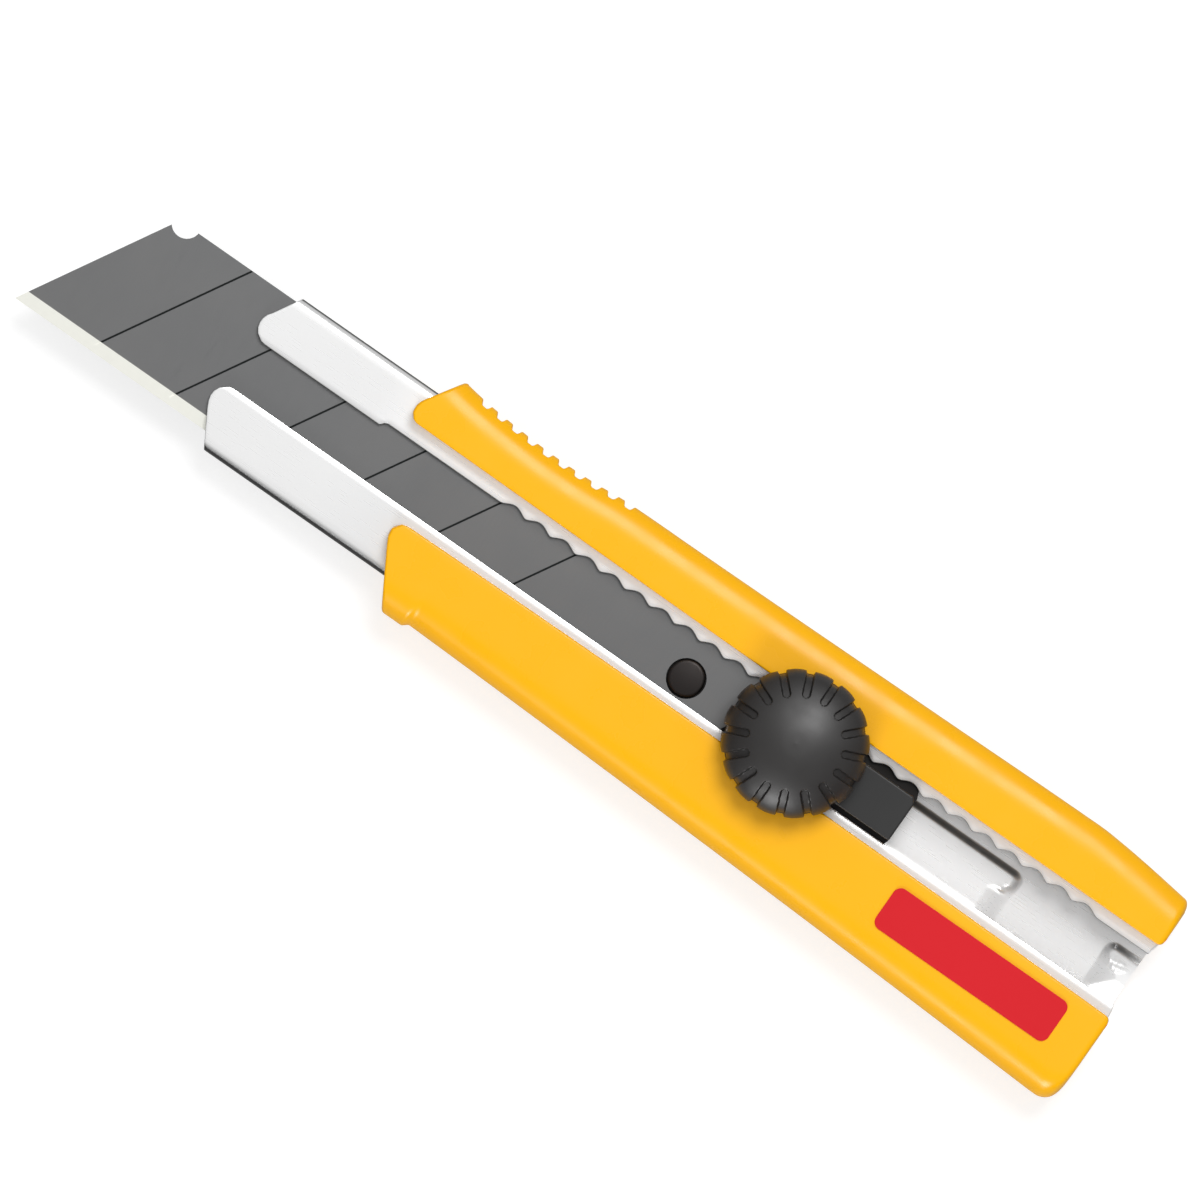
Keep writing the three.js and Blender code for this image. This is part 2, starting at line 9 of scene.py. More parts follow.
import bmesh
import bpy
import numpy as np
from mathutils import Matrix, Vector


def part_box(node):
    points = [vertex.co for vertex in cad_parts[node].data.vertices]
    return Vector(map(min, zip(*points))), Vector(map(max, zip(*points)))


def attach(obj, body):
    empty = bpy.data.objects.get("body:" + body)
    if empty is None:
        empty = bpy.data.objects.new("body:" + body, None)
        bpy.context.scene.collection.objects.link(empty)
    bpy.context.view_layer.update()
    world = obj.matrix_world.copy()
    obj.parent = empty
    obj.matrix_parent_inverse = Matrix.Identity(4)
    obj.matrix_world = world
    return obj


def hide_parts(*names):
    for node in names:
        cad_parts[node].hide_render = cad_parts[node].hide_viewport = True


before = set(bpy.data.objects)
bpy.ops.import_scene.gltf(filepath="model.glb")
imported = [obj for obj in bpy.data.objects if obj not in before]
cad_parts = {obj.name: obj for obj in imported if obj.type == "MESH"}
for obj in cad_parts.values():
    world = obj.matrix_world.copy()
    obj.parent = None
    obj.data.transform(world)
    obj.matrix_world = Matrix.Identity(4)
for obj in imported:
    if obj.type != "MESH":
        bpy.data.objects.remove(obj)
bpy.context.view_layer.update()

MM = 0.001


def node_box(node):
    """A CAD node's lowest and highest corner, in millimetres."""
    low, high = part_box(node)
    return np.array(low) / MM, np.array(high) / MM


HANDLE_LOW, HANDLE_HIGH = node_box("handle_body")
SHEATH_LOW, SHEATH_HIGH = node_box("sheath")
BLADE_LOW, BLADE_HIGH = node_box("blade")
PIN_LOW, PIN_HIGH = node_box("blade_pin")
BLOCK_LOW, BLOCK_HIGH = node_box("slider_block")
SCREW_LOW, SCREW_HIGH = node_box("clamp_screw")
WASHER_LOW, WASHER_HIGH = node_box("lock_washer")
KNOB_LOW, KNOB_HIGH = node_box("lock_knob")
LABEL_LOW, LABEL_HIGH = node_box("label")

LOCK_X = (SCREW_LOW[0] + SCREW_HIGH[0]) / 2
SLANT = math.tan(math.radians(30))


# ---- Mesh tools ----


def shown(name, mesh, material, body, slot, *replaced):
    """A finished piece: linked, riding on its body, for the CAD's nodes, which it hides. Its slot
    is not used.
    """
    piece = bpy.data.objects.new(name, mesh)
    bpy.context.scene.collection.objects.link(piece)
    mesh.materials.append(material)
    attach(piece, body)
    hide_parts(*replaced)
    return piece


SMOOTH_ANGLE = 35


def mesh_of(name, points, faces, smooth_angle=SMOOTH_ANGLE):
    """A mesh from points in millimetres, with sharp edges kept above an angle."""
    mesh = bpy.data.meshes.new(name)
    mesh.from_pydata((np.asarray(points) * MM).tolist(), [], faces)
    mesh.validate()
    mesh.update()
    mesh.shade_smooth()
    mesh.set_sharp_from_angle(angle=math.radians(smooth_angle))
    return mesh


def ring_faces(rings, count):
    """Quads between successive closed rings of the same number of points."""
    faces = []
    for r in range(rings - 1):
        for i in range(count):
            a = r * count + i
            b = r * count + (i + 1) % count
            faces.append((a, b, b + count, a + count))
    return faces


def lathe(name, profile, x, y, sides):
    """A piece turned about an upright axis, from (radius, height) points.

    The profile is closed on the axis or on itself.
    """
    turn = np.linspace(0, 2 * math.pi, sides, endpoint=False)
    rings = [
        np.stack([x + r * np.cos(turn), y + r * np.sin(turn), np.full(sides, z)], axis=1)
        for r, z in profile
    ]
    return merged(mesh_of(name, np.concatenate(rings), ring_faces(len(profile), sides)))


def merged(mesh, smooth_angle=SMOOTH_ANGLE):
    """The same mesh with coincident points joined and faces turned outwards."""
    work = bmesh.new()
    work.from_mesh(mesh)
    bmesh.ops.remove_doubles(work, verts=work.verts, dist=1e-7)
    bmesh.ops.dissolve_degenerate(work, edges=work.edges, dist=1e-8)
    bmesh.ops.recalc_face_normals(work, faces=work.faces)
    work.to_mesh(mesh)
    work.free()
    mesh.shade_smooth()
    mesh.set_sharp_from_angle(angle=math.radians(smooth_angle))
    return mesh


def rounded_outline(corners, steps=8):
    """Points of a closed outline through (x, y, radius) corners, each rounded by an arc."""
    points = []
    count = len(corners)
    for i, (x, y, radius) in enumerate(corners):
        here = np.array([x, y], float)
        back = np.array(corners[i - 1][:2], float) - here
        ahead = np.array(corners[(i + 1) % count][:2], float) - here
        back /= np.linalg.norm(back)
        ahead /= np.linalg.norm(ahead)
        half = math.acos(float(np.clip(back @ ahead, -1, 1))) / 2
        middle = back + ahead
        centre = here + middle / np.linalg.norm(middle) * radius / math.sin(half)
        start = here + back * radius / math.tan(half) - centre
        turn = -np.sign(back[0] * ahead[1] - back[1] * ahead[0]) * (math.pi - 2 * half)
        for k in range(steps + 1):
            c, s = math.cos(turn * k / steps), math.sin(turn * k / steps)
            spun = np.array([start[0] * c - start[1] * s, start[0] * s + start[1] * c])
            points.append(centre + spun)
    return np.array(points)


def soft_prism(name, outline, low, high, edge):
    """An upright prism of a plan outline, with rounded upper and lower edges and flat ends."""
    before = np.roll(outline, 1, axis=0)
    after = np.roll(outline, -1, axis=0)
    along = after - before
    inward = np.stack([-along[:, 1], along[:, 0]], axis=1)
    inward /= np.linalg.norm(inward, axis=1, keepdims=True)
    quarter = np.linspace(0, math.pi / 2, 6)
    levels = [(edge * (1 - math.sin(a)), low + edge * (1 - math.cos(a))) for a in quarter]
    levels += [
        (edge * (1 - math.cos(a)), high - edge * (1 - math.sin(a))) for a in quarter
    ]
    rings = [
        np.column_stack([outline + inward * inset, np.full(len(outline), z)])
        for inset, z in levels
    ]
    points = np.concatenate(rings)
    count = len(outline)
    faces = ring_faces(len(levels), count)
    faces.append(tuple(reversed(range(count))))
    last = (len(levels) - 1) * count
    faces.append(tuple(range(last, last + count)))
    mesh = mesh_of(name, points, faces)
    for face in mesh.polygons:
        face.use_smooth = len(face.vertices) == 4
    return mesh


def smoothstep(value):
    """An even rise from 0 to 1 as the value goes from 0 to 1."""
    value = np.clip(value, 0, 1)
    return value * value * (3 - 2 * value)


def cubic(kx, ky, x):
    """A smooth cubic through knots at kx with values ky, read at x."""
    slope = np.gradient(ky, kx)
    i = np.clip(np.searchsorted(kx, x) - 1, 0, len(kx) - 2)
    step = kx[i + 1] - kx[i]
    t = (x - kx[i]) / step
    return (
        ky[i] * (1 + 2 * t) * (1 - t) ** 2
        + slope[i] * step * t * (1 - t) ** 2
        + ky[i + 1] * t * t * (3 - 2 * t)
        + slope[i + 1] * step * t * t * (t - 1)
    )


# Roughly how long a swept piece is, to keep its stations clear of its rounded ends.
ABOUT_LONG = 140
# Where the search for a station's x starts and how far it reaches at first.
GUESS_START, GUESS_LONG, GUESS_ROUNDS = -60, 120, 6


def sweep_piece(
    name, outer_at, inner_at, front_at, tail_at, stations, ends, smooth_angle=SMOOTH_ANGLE
):
    """A thick-walled channel that runs along X.

    outer_at(x, plain) and inner_at(x, plain) give the two walls' (y, z, top) points, paired
    one to one, for an array of x. Where plain is true they leave out the small shapes along
    the edges. front_at and tail_at give where the piece starts and ends for (y, top).
    stations run from 0 to 1. ends are the front and tail edge roundings.
    """
    count = outer_at(np.zeros(1), True)[0].shape[-1]
    cap_steps = 10

    def place(path_at, t):
        """A wall's x, y and z at station t, where x depends on y and y on x."""
        x = np.full(count, GUESS_START + GUESS_LONG * t)
        for _ in range(GUESS_ROUNDS):
            y, z, top = path_at(x, True)
            start, stop = front_at(y, top), tail_at(y, top)
            x = start + (stop - start) * t
        y, z, _ = path_at(x, False)
        return x, y, z

    def walls(t, inset, shift):
        """Both walls at station t, the outer one inset and both shifted along X."""
        x, y, z = place(outer_at, t)
        xi, yi, zi = place(inner_at, t)
        if shift < 0:
            x, xi = x + shift, xi + shift
            y, z, _ = outer_at(x, False)
            yi, zi, _ = inner_at(xi, False)
            shift = 0
        dy, dz = np.gradient(y), np.gradient(z)
        length = np.hypot(dy, dz) + 1e-9
        y, z = y + inset * dz / length, z - inset * dy / length
        if t == 0:
            x = front_at(y, outer_at(x, True)[2])
        outer = np.column_stack([x + shift, y, z])
        inner = np.column_stack([xi + shift, yi, zi])
        return np.concatenate([outer, inner[::-1]])

    front, tail = ends
    quarter = np.linspace(0, math.pi / 2, 6)
    rings = [walls(0, front * (1 - math.sin(a)), front * (1 - math.cos(a))) for a in quarter]
    clear = (front / ABOUT_LONG, 1 - tail / ABOUT_LONG)
    rings += [walls(t, 0, 0) for t in stations[1:-1] if clear[0] < t < clear[1]]
    rings += [
        walls(1, tail * (1 - math.cos(a)), -tail * (1 - math.sin(a))) for a in quarter
    ]
    points = list(np.concatenate(rings))
    faces = ring_faces(len(rings), 2 * count)

    def cap(ring, t, flip):
        """Closes one end with a grid that follows the piece's plan between its two walls."""
        base = ring * 2 * count
        outer = np.array(points[base : base + count])
        inner = np.array(points[base + count : base + 2 * count])[::-1]
        top = outer_at(outer[:, 0], True)[2]
        rows = [list(range(base, base + count))]
        for k in range(1, cap_steps):
            share = 1 - math.cos(math.pi / 2 * k / cap_steps)
            y = outer[:, 1] + (inner[:, 1] - outer[:, 1]) * share
            z = outer[:, 2] + (inner[:, 2] - outer[:, 2]) * share
            x = front_at(y, top) if t == 0 else tail_at(y, top)
            rows.append(list(range(len(points), len(points) + count)))
            points.extend(np.column_stack([x, y, z]))
        rows.append(list(range(base + 2 * count - 1, base + count - 1, -1)))
        for above, below in zip(rows, rows[1:]):
            for i in range(count - 1):
                quad = (above[i], above[i + 1], below[i + 1], below[i])
                faces.append(quad[::-1] if flip else quad)
        for side in (0, -1):
            faces.append(tuple(row[side] for row in rows))

    cap(0, 0, False)
    cap(len(rings) - 1, 1, True)
    return merged(mesh_of(name, np.array(points), faces, smooth_angle), smooth_angle)


# ---- Handle ----

TOP = HANDLE_HIGH[2]
# The roundings along the outer edges: the underside's radius, and the half-widths and
# half-heights of the ellipses along the top.
SIDE_R = 3.0
UPPER_WIDE, UPPER_TALL = 5.0, 3.0
LOWER_WIDE, LOWER_TALL = 5.2, 4.9
# The roundings along the slot's edges, outside and inside.
SLOT_SOFT, INNER_SOFT = 0.32, 0.25
UPPER_EDGE = np.array(
    [
        (-72, 18),
        (-67.9, 17),
        (-64.7, 16.5),
        (-57, 15.8),
        (-48, 15.5),
        (-42, 15.7),
        (-37.3, 16.08),
        (-33, 16.18),
        (-26, 16.2),
        (24, 16.65),
        (52, 16.93),
        (55, 16.93),
        (58, 16.72),
        (76, 14.6),
    ],
    float,
)
GRIP_FIRST, GRIP_PITCH, GRIP_COUNT = -63.6, 3.07, 10
GRIP_HALF, GRIP_DEPTH, GRIP_RAMP = 0.75, 0.82, 0.55
# The finger pad at the lower front: its edge, where it ends and how long its step is.
PAD_EDGE, PAD_END, PAD_RAMP = -20.36, -53.6, 1.3
# The plan radii of the tail's two corners and of the slot's mouth there.
LOWER_CORNER, UPPER_CORNER, MOUTH_CORNER = 3.4, 1.3, 0.9
CHANNEL_CLEAR = 0.3
HANDLE_FLOOR, GROOVE_FLOOR, CEILING = 2.6, 1.6, 10.1
# The groove in the floor under the sheath's trough: its middle, half-width and ramp.
GROOVE_MIDDLE, GROOVE_HALF, GROOVE_RAMP = -2, 7.2, 0.6


def tail_round(x, radius):
    """How far a corner of a radius at the handle's tail has come in from its edge at x."""
    past = np.clip(x - (HANDLE_HIGH[0] - radius), 0, radius)
    return radius - np.sqrt(radius**2 - past**2)


def upper_edge(x):
    """The handle's upper edge without its flutes."""
    return cubic(UPPER_EDGE[:, 0], UPPER_EDGE[:, 1], x) - tail_round(x, UPPER_CORNER)


def flute(x):
    """How deep the finger flutes cut at x, from 0 on a rib to 1 in a flute."""
    nearest = np.round((x - GRIP_FIRST) / GRIP_PITCH)
    nearest = np.clip(nearest, 0, GRIP_COUNT - 1)
    away = np.abs(x - GRIP_FIRST - nearest * GRIP_PITCH)
    return smoothstep((GRIP_HALF + GRIP_RAMP / 2 - away) / GRIP_RAMP)


def lower_edge(x):
    """The handle's lower edge: a slight bow, with the finger pad at its front."""
    bow = -21.42 - 0.0346 * (x - 8) - 0.000085 * (x - 8) ** 2
    pad = smoothstep((PAD_END - x) / PAD_RAMP)
    return bow * (1 - pad) + PAD_EDGE * pad + tail_round(x, LOWER_CORNER)


def slot_upper(x):
    """The slot's upper edge, which opens slightly towards the front."""
    return 6.7 + 0.55 * np.clip((15 - x) / 85, 0, 1) + tail_round(x, MOUTH_CORNER)


def slot_lower(x):
    """The slot's lower edge, bowed very slightly."""
    return -6.5 - 0.000111 * (x + 5) ** 2 - tail_round(x, MOUTH_CORNER)


def arc_points(cy, cz, wide, start, stop, steps, tall=None):
    """An arc in the cross-section, or part of an ellipse. cy may be an array along the piece."""
    tall = wide if tall is None else tall
    angles = np.radians(np.linspace(start, stop, steps))
    return [(cy + wide * math.cos(a), cz + tall * math.sin(a)) for a in angles]


def run(y0, z0, y1, z1, steps):
    """Points strictly between two points of the cross-section."""
    shares = np.linspace(0, 1, steps + 2)[1:-1]
    return [(y0 + (y1 - y0) * s, z0 + (z1 - z0) * s) for s in shares]


def as_path(points, top_level):
    """Stacks cross-section points whose y may vary along the piece, taking each at its own x."""
    count = len(points)
    y = np.array([np.broadcast_to(p[0], (count,))[i] for i, p in enumerate(points)])
    z = np.array([np.broadcast_to(p[1], (count,))[i] for i, p in enumerate(points)])
    return y, z, z > top_level


def spread(x, count):
    """One x for each point of a cross-section."""
    return np.repeat(x, count) if len(x) == 1 else x


HANDLE_POINTS = 110
FLUSH = 0.02


def handle_outer(x, plain):
    """The handle's outer wall, from the slot's upper edge round the back to its lower edge."""
    x = spread(x, HANDLE_POINTS)
    up, low, su, sl = upper_edge(x), lower_edge(x), slot_upper(x), slot_lower(x)
    f, r = SLOT_SOFT, SIDE_R
    points = arc_points(su + f, TOP - f, f, 180, 90, 6)
    points += run(su + f, TOP, up - UPPER_WIDE, TOP, 5)
    points += arc_points(up - UPPER_WIDE, TOP - UPPER_TALL, UPPER_WIDE, 90, 0, 14, UPPER_TALL)
    points += run(up, TOP - UPPER_TALL, up, r, 4)
    points += arc_points(up - r, r, r, 0, -90, 14)
    points += run(up - r, 0, low + r, 0, 24)
    points += arc_points(low + r, r, r, -90, -180, 14)
    points += run(low, r, low, TOP - LOWER_TALL, 4)
    points += arc_points(low + LOWER_WIDE, TOP - LOWER_TALL, LOWER_WIDE, 180, 90, 14, LOWER_TALL)
    points += run(low + LOWER_WIDE, TOP, sl - f, TOP, 5)
    points += arc_points(sl - f, TOP - f, f, 90, 0, 6)
    y, z, top = as_path(points, CEILING)
    y = np.clip(y, HANDLE_LOW[1] + FLUSH, HANDLE_HIGH[1] - FLUSH)
    if not plain:
        y = np.where(y > 5, np.minimum(y, up - GRIP_DEPTH * flute(x)), y)
    return y, z, top


def handle_inner(x, plain):
    """The handle's inner wall, point for point with the outer one."""
    x = spread(x, HANDLE_POINTS)
    su, sl = slot_upper(x), slot_lower(x)
    wall_up, wall_low = SHEATH_HIGH[1] + CHANNEL_CLEAR, SHEATH_LOW[1] - CHANNEL_CLEAR
    f = INNER_SOFT
    points = arc_points(su + f, CEILING + f, f, 180, 270, 6)
    points += run(su + f, CEILING, wall_up - f, CEILING, 11)
    points += arc_points(wall_up - f, CEILING - f, f, 90, 0, 8)
    points += run(wall_up, CEILING - f, wall_up, HANDLE_FLOOR + f, 4)
    points += arc_points(wall_up - f, HANDLE_FLOOR + f, f, 0, -90, 14)
    floor = run(wall_up - f, HANDLE_FLOOR, wall_low + f, HANDLE_FLOOR, 24)
    dip = HANDLE_FLOOR - GROOVE_FLOOR
    for y, z in floor:
        share = smoothstep((GROOVE_HALF - abs(y - GROOVE_MIDDLE)) / GROOVE_RAMP)
        points.append((y, z - dip * float(share)))
    points += arc_points(wall_low + f, HANDLE_FLOOR + f, f, -90, -180, 14)
    points += run(wall_low, HANDLE_FLOOR + f, wall_low, CEILING - f, 4)
    points += arc_points(wall_low + f, CEILING - f, f, 180, 90, 8)
    points += run(wall_low + f, CEILING, sl - f, CEILING, 11)
    points += arc_points(sl - f, CEILING + f, f, 270, 360, 6)
    return as_path(points, CEILING - 0.1)


def nose(y, centre_x, centre_y, radius):
    """The front of a round nose."""
    return centre_x - np.sqrt(np.maximum(radius**2 - (y - centre_y) ** 2, 0))


NOSE_R = 1.9
FRONT_WALL, WALL_UPPER, WALL_LOWER, WALL_BACK = -73.2, 8.15, -7.85, 7.2


def handle_front(y, top):
    """Where the handle starts: two slants, with round rail noses above and a wall below."""
    upper = -68.4 - (16.8 - y) * 0.637
    lower = -58.5 - (y + 20.4) * SLANT
    wall = FRONT_WALL + (WALL_UPPER - y) * WALL_BACK / (WALL_UPPER - WALL_LOWER)
    x = np.where(y < WALL_LOWER, lower, wall)
    x = np.where(y > WALL_UPPER, np.maximum(upper, FRONT_WALL), x)
    up_share, low_share = smoothstep((y - 9.3) / 1.6), smoothstep((-9.1 - y) / 1.4)
    nose_up = nose(y, -70.7, 9.15, NOSE_R) * (1 - up_share) + upper * up_share
    nose_low = nose(y, -62.8, -8.85, NOSE_R) * (1 - low_share) + lower * low_share
    return np.where(top, np.where(y > 0, nose_up, nose_low), x)


RELIEF_DEPTH, RELIEF_HALF, RELIEF_RAMP = 1.6, 8.4, 3


def handle_tail(y, top):
    """Where the handle ends: the floor between the rails is cut back in a shallow curve."""
    relief = RELIEF_DEPTH * smoothstep((RELIEF_HALF - np.abs(y)) / RELIEF_RAMP)
    return HANDLE_HIGH[0] - np.where(top, 0, relief)


FLUTED_SHARE, CORNER_SHARE = 0.25, 0.972
HANDLE_ENDS = (0.45, 0.9)


def make_handle(material):
    """The handle, with close stations along the flutes and round the tail's corners."""
    fine = np.linspace(0, FLUTED_SHARE, 290)
    coarse = np.linspace(FLUTED_SHARE, CORNER_SHARE, 90)[1:]
    round_tail = np.sin(np.linspace(0, math.pi / 2, 22)[1:])
    corner = 1 - (1 - CORNER_SHARE) * (1 - round_tail)
    mesh = sweep_piece(
        "handle_shell",
        handle_outer,
        handle_inner,
        handle_front,
        handle_tail,
        np.concatenate([fine, coarse, corner]),
        HANDLE_ENDS,
    )
    return shown("handle_shell", mesh, material, "housing", "handle", "handle_body")


# ---- Sheath ----

SHEET = 0.7
BEND_R, LIP_SOFT = 1.4, 0.2
LIP_TOP = SHEATH_HIGH[2]
FLOOR_LOW = LIP_TOP - 6.9
LIP_FRONT, LIP_STEP, STEP_START, STEP_LONG = 3.72, 0.88, -75.9, 1.2
WAVE_START, WAVE_PITCH, WAVE_COUNT, WAVE_DEPTH = -53.0, 4.79, 24, 0.86
TROUGH_DEPTH = 0.8
# Each trough's plan: first x, last x, first y, last y.
LONG_TROUGH = (-61.8, 49.3, -9, 3.65)
TAIL_TROUGH = (65.9, 90, -6, 3.4)
TROUGH_R = 1.8
DIMPLE_X, DIMPLE_Y, DIMPLE_DEPTH = 47.2, -0.3, 0.3
MARK_X, MARK_Y, MARK_LONG, MARK_WIDE, MARK_DEPTH = 68.9, 0.35, 2.1, 1.1, 0.05


def lip_upper(x, plain):
    """The upper lip's inner edge: a narrow front, a step, the wavy rack and a plain tail."""
    if plain:
        return np.full_like(x, LIP_FRONT)
    step = LIP_STEP * smoothstep((x - STEP_START) / STEP_LONG)
    phase = (x - WAVE_START) / WAVE_PITCH
    wave = np.abs(np.sin(math.pi * phase)) ** 1.4
    inside = (phase > 0) & (phase < WAVE_COUNT)
    return LIP_FRONT + step + np.where(inside, WAVE_DEPTH * wave, 0)


def lip_lower(x):
    """The lower lip's inner edge, which runs very slightly aslant."""
    return -4.75 - 0.31 * (x + 97.6) / 169.3


def trough_mask(x, y, x0, x1, y0, y1):
    """1 inside a rounded plan rectangle and 0 outside, with a drawn slanted wall between.

    The wall is steep along the upper side and softer towards the lower one.
    """
    radius = TROUGH_R
    wall = 1.25 + 3 * smoothstep((1.2 - y) / 2.6)
    dx = np.abs(x - (x0 + x1) / 2) - (x1 - x0) / 2 + radius
    dy = np.abs(y - (y0 + y1) / 2) - (y1 - y0) / 2 + radius
    beyond = np.hypot(np.maximum(dx, 0), np.maximum(dy, 0))
    within = np.minimum(np.maximum(dx, dy), 0)
    share = np.clip((radius - beyond - within) / wall, 0, 1)
    return 0.75 * share + 0.25 * smoothstep(share)


def pressed(x, y):
    """How far the sheath's floor is pressed down at a point."""
    troughs = np.maximum(trough_mask(x, y, *LONG_TROUGH), trough_mask(x, y, *TAIL_TROUGH))
    dimple = np.exp(-(((x - DIMPLE_X) / 0.5) ** 2 + ((y - DIMPLE_Y) / 0.35) ** 2))
    return TROUGH_DEPTH * troughs + DIMPLE_DEPTH * dimple + stamped_mark(x, y)


def stamped_mark(x, y):
    """The small rough oval struck into the tail trough."""
    along, across = (x - MARK_X) / MARK_LONG, (y - MARK_Y) / MARK_WIDE
    inside = smoothstep((1.1 - np.hypot(along, across)) / 0.3)
    grain = np.sin(3.1 * x + 4.3 * y) * np.sin(2.9 * y - 4.7 * x + 1)
    return MARK_DEPTH * inside * (1 + grain)


def sheath_section(x, inset, plain):
    """The sheath's section: its outer wall at inset 0, its inner one at the sheet's thickness."""
    up, low = SHEATH_HIGH[1] - inset, SHEATH_LOW[1] + inset
    ceiling, floor = LIP_TOP - inset, FLOOR_LOW + inset
    r = BEND_R - inset
    edge_up, edge_low = lip_upper(x, plain), lip_lower(x)
    soft, middle = LIP_SOFT, LIP_TOP - SHEET / 2
    drop = -soft if inset else soft
    lead = [(edge_up, middle), (edge_up, ceiling - drop)]
    lead += [(edge_up + soft * 0.3, ceiling - drop * 0.3), (edge_up + soft, ceiling)]
    tail = [(edge_low - soft, ceiling), (edge_low - soft * 0.3, ceiling - drop * 0.3)]
    tail += [(edge_low, ceiling - drop), (edge_low, middle)]
    points = lead + run(edge_up + soft, ceiling, up - r, ceiling, 9)
    points += arc_points(up - r, ceiling - r, r, 90, 0, 8)
    points += run(up, ceiling - r, up, floor + r, 3)
    points += arc_points(up - r, floor + r, r, 0, -90, 8)
    flat = np.concatenate(
        [
            np.linspace(up - r, 4.4, 8)[1:],
            np.linspace(4.4, 2.6, 15)[1:],
            np.linspace(2.6, -0.6, 17)[1:],
            np.linspace(-0.6, -1.8, 10)[1:],
            np.linspace(-1.8, -2.8, 4)[1:],
            np.linspace(-2.8, -9, 20)[1:],
            np.linspace(-9, low + r, 5)[1:-1],
        ]
    )
    points += [(y, floor) for y in flat]
    points += arc_points(low + r, floor + r, r, -90, -180, 8)
    points += run(low, floor + r, low, ceiling - r, 3)
    points += arc_points(low + r, ceiling - r, r, 180, 90, 8)
    points += run(low + r, ceiling, edge_low - soft, ceiling, 9) + tail
    return points


SHEATH_POINTS = len(sheath_section(np.zeros(1), 0, True))


def sheath_wall(x, inset, plain):
    """One of the sheath's walls, with the troughs pressed into its floor."""
    x = spread(x, SHEATH_POINTS)
    y, z, top = as_path(sheath_section(x, inset, plain), LIP_TOP - 1.6)
    on_floor = z < FLOOR_LOW + inset + 1e-6
    return y, np.where(on_floor, z - pressed(x, y), z), top


def sheath_front(y, top):
    """Where the sheath starts: slants, with round tongue noses on the lips."""
    upper = -97 - (SHEATH_HIGH[1] - y) * SLANT
    lower = -96.2 - (y - SHEATH_LOW[1]) * SLANT
    floor = np.maximum(np.where(y > 0, upper, lower), -100.4)
    nose_up = np.where(y < 8.45, nose(y, -97.7, 6.52, 2.8), upper)
    nose_low = np.where(y > -8.8, nose(y, -97.6, -7.45, 2.7), lower)
    return np.where(top, np.where(y > 0, nose_up, nose_low), floor)


def sheath_tail(y, top):
    """Where the sheath ends: a shallow thumb relief between two square corners."""
    relief = 1 - smoothstep((np.abs(y) - 4.2) / 2.6)
    return SHEATH_HIGH[0] - 0.55 * relief


def make_sheath(material):
    """The blade channel, with close stations along the rack and at its ends."""
    front = np.linspace(0, 0.13, 40)
    rack = np.linspace(0.13, 0.955, 400)[1:]
    tail = np.linspace(0.955, 1, 44)[1:]
    mesh = sweep_piece(
        "sheath_channel",
        lambda x, plain: sheath_wall(x, 0, plain),
        lambda x, plain: sheath_wall(x, SHEET, plain),
        sheath_front,
        sheath_tail,
        np.concatenate([front, rack, tail]),
        (0.12, 0.12),
        smooth_angle=40,
    )
    return shown("sheath_channel", mesh, material, "housing", "sheath", "sheath")


# ---- Lock knob ----

KNOB_GROOVES = 16
GROOVE_WIDTH, GROOVE_DEPTH, GROOVE_EDGE = 1.25, 0.62, 0.28
GROOVE_START = 7.5
RIB_SWELL = 0.1
KNOB_POCKET, KNOB_POCKET_TALL = 5.3, 6.3
FOOT_OUTER, FOOT_INNER, FOOT_RISE = 9.9, 9.7, 0.2


def crown_profile():
    """The knob's profile from the crown's middle to the foot, as smooth (radius, height)."""
    radius = (KNOB_HIGH[0] - KNOB_LOW[0]) / 2 + 0.03
    foot, peak = KNOB_LOW[2], KNOB_HIGH[2]
    knots = [
        (0, peak),
        (2.4, peak - 0.16),
        (4.8, peak - 0.64),
        (7.5, peak - 1.58),
        (9.4, peak - 2.6),
        (10.1, peak - 3.1),
        (10.9, peak - 3.9),
        (11.5, peak - 5.0),
        (radius - 0.02, peak - 6.6),
        (radius, peak - 7.7),
        (radius - 0.02, foot + 0.45),
        (radius - 0.2, foot + 0.1),
        (radius - 0.6, foot),
    ]
    r = np.array([k[0] for k in knots])
    z = np.array([k[1] for k in knots])
    run_length = np.concatenate([[0], np.cumsum(np.hypot(np.diff(r), np.diff(z)))])
    fine = np.linspace(0, run_length[-1], 110)
    return cubic(run_length, r, fine), cubic(run_length, z, fine)


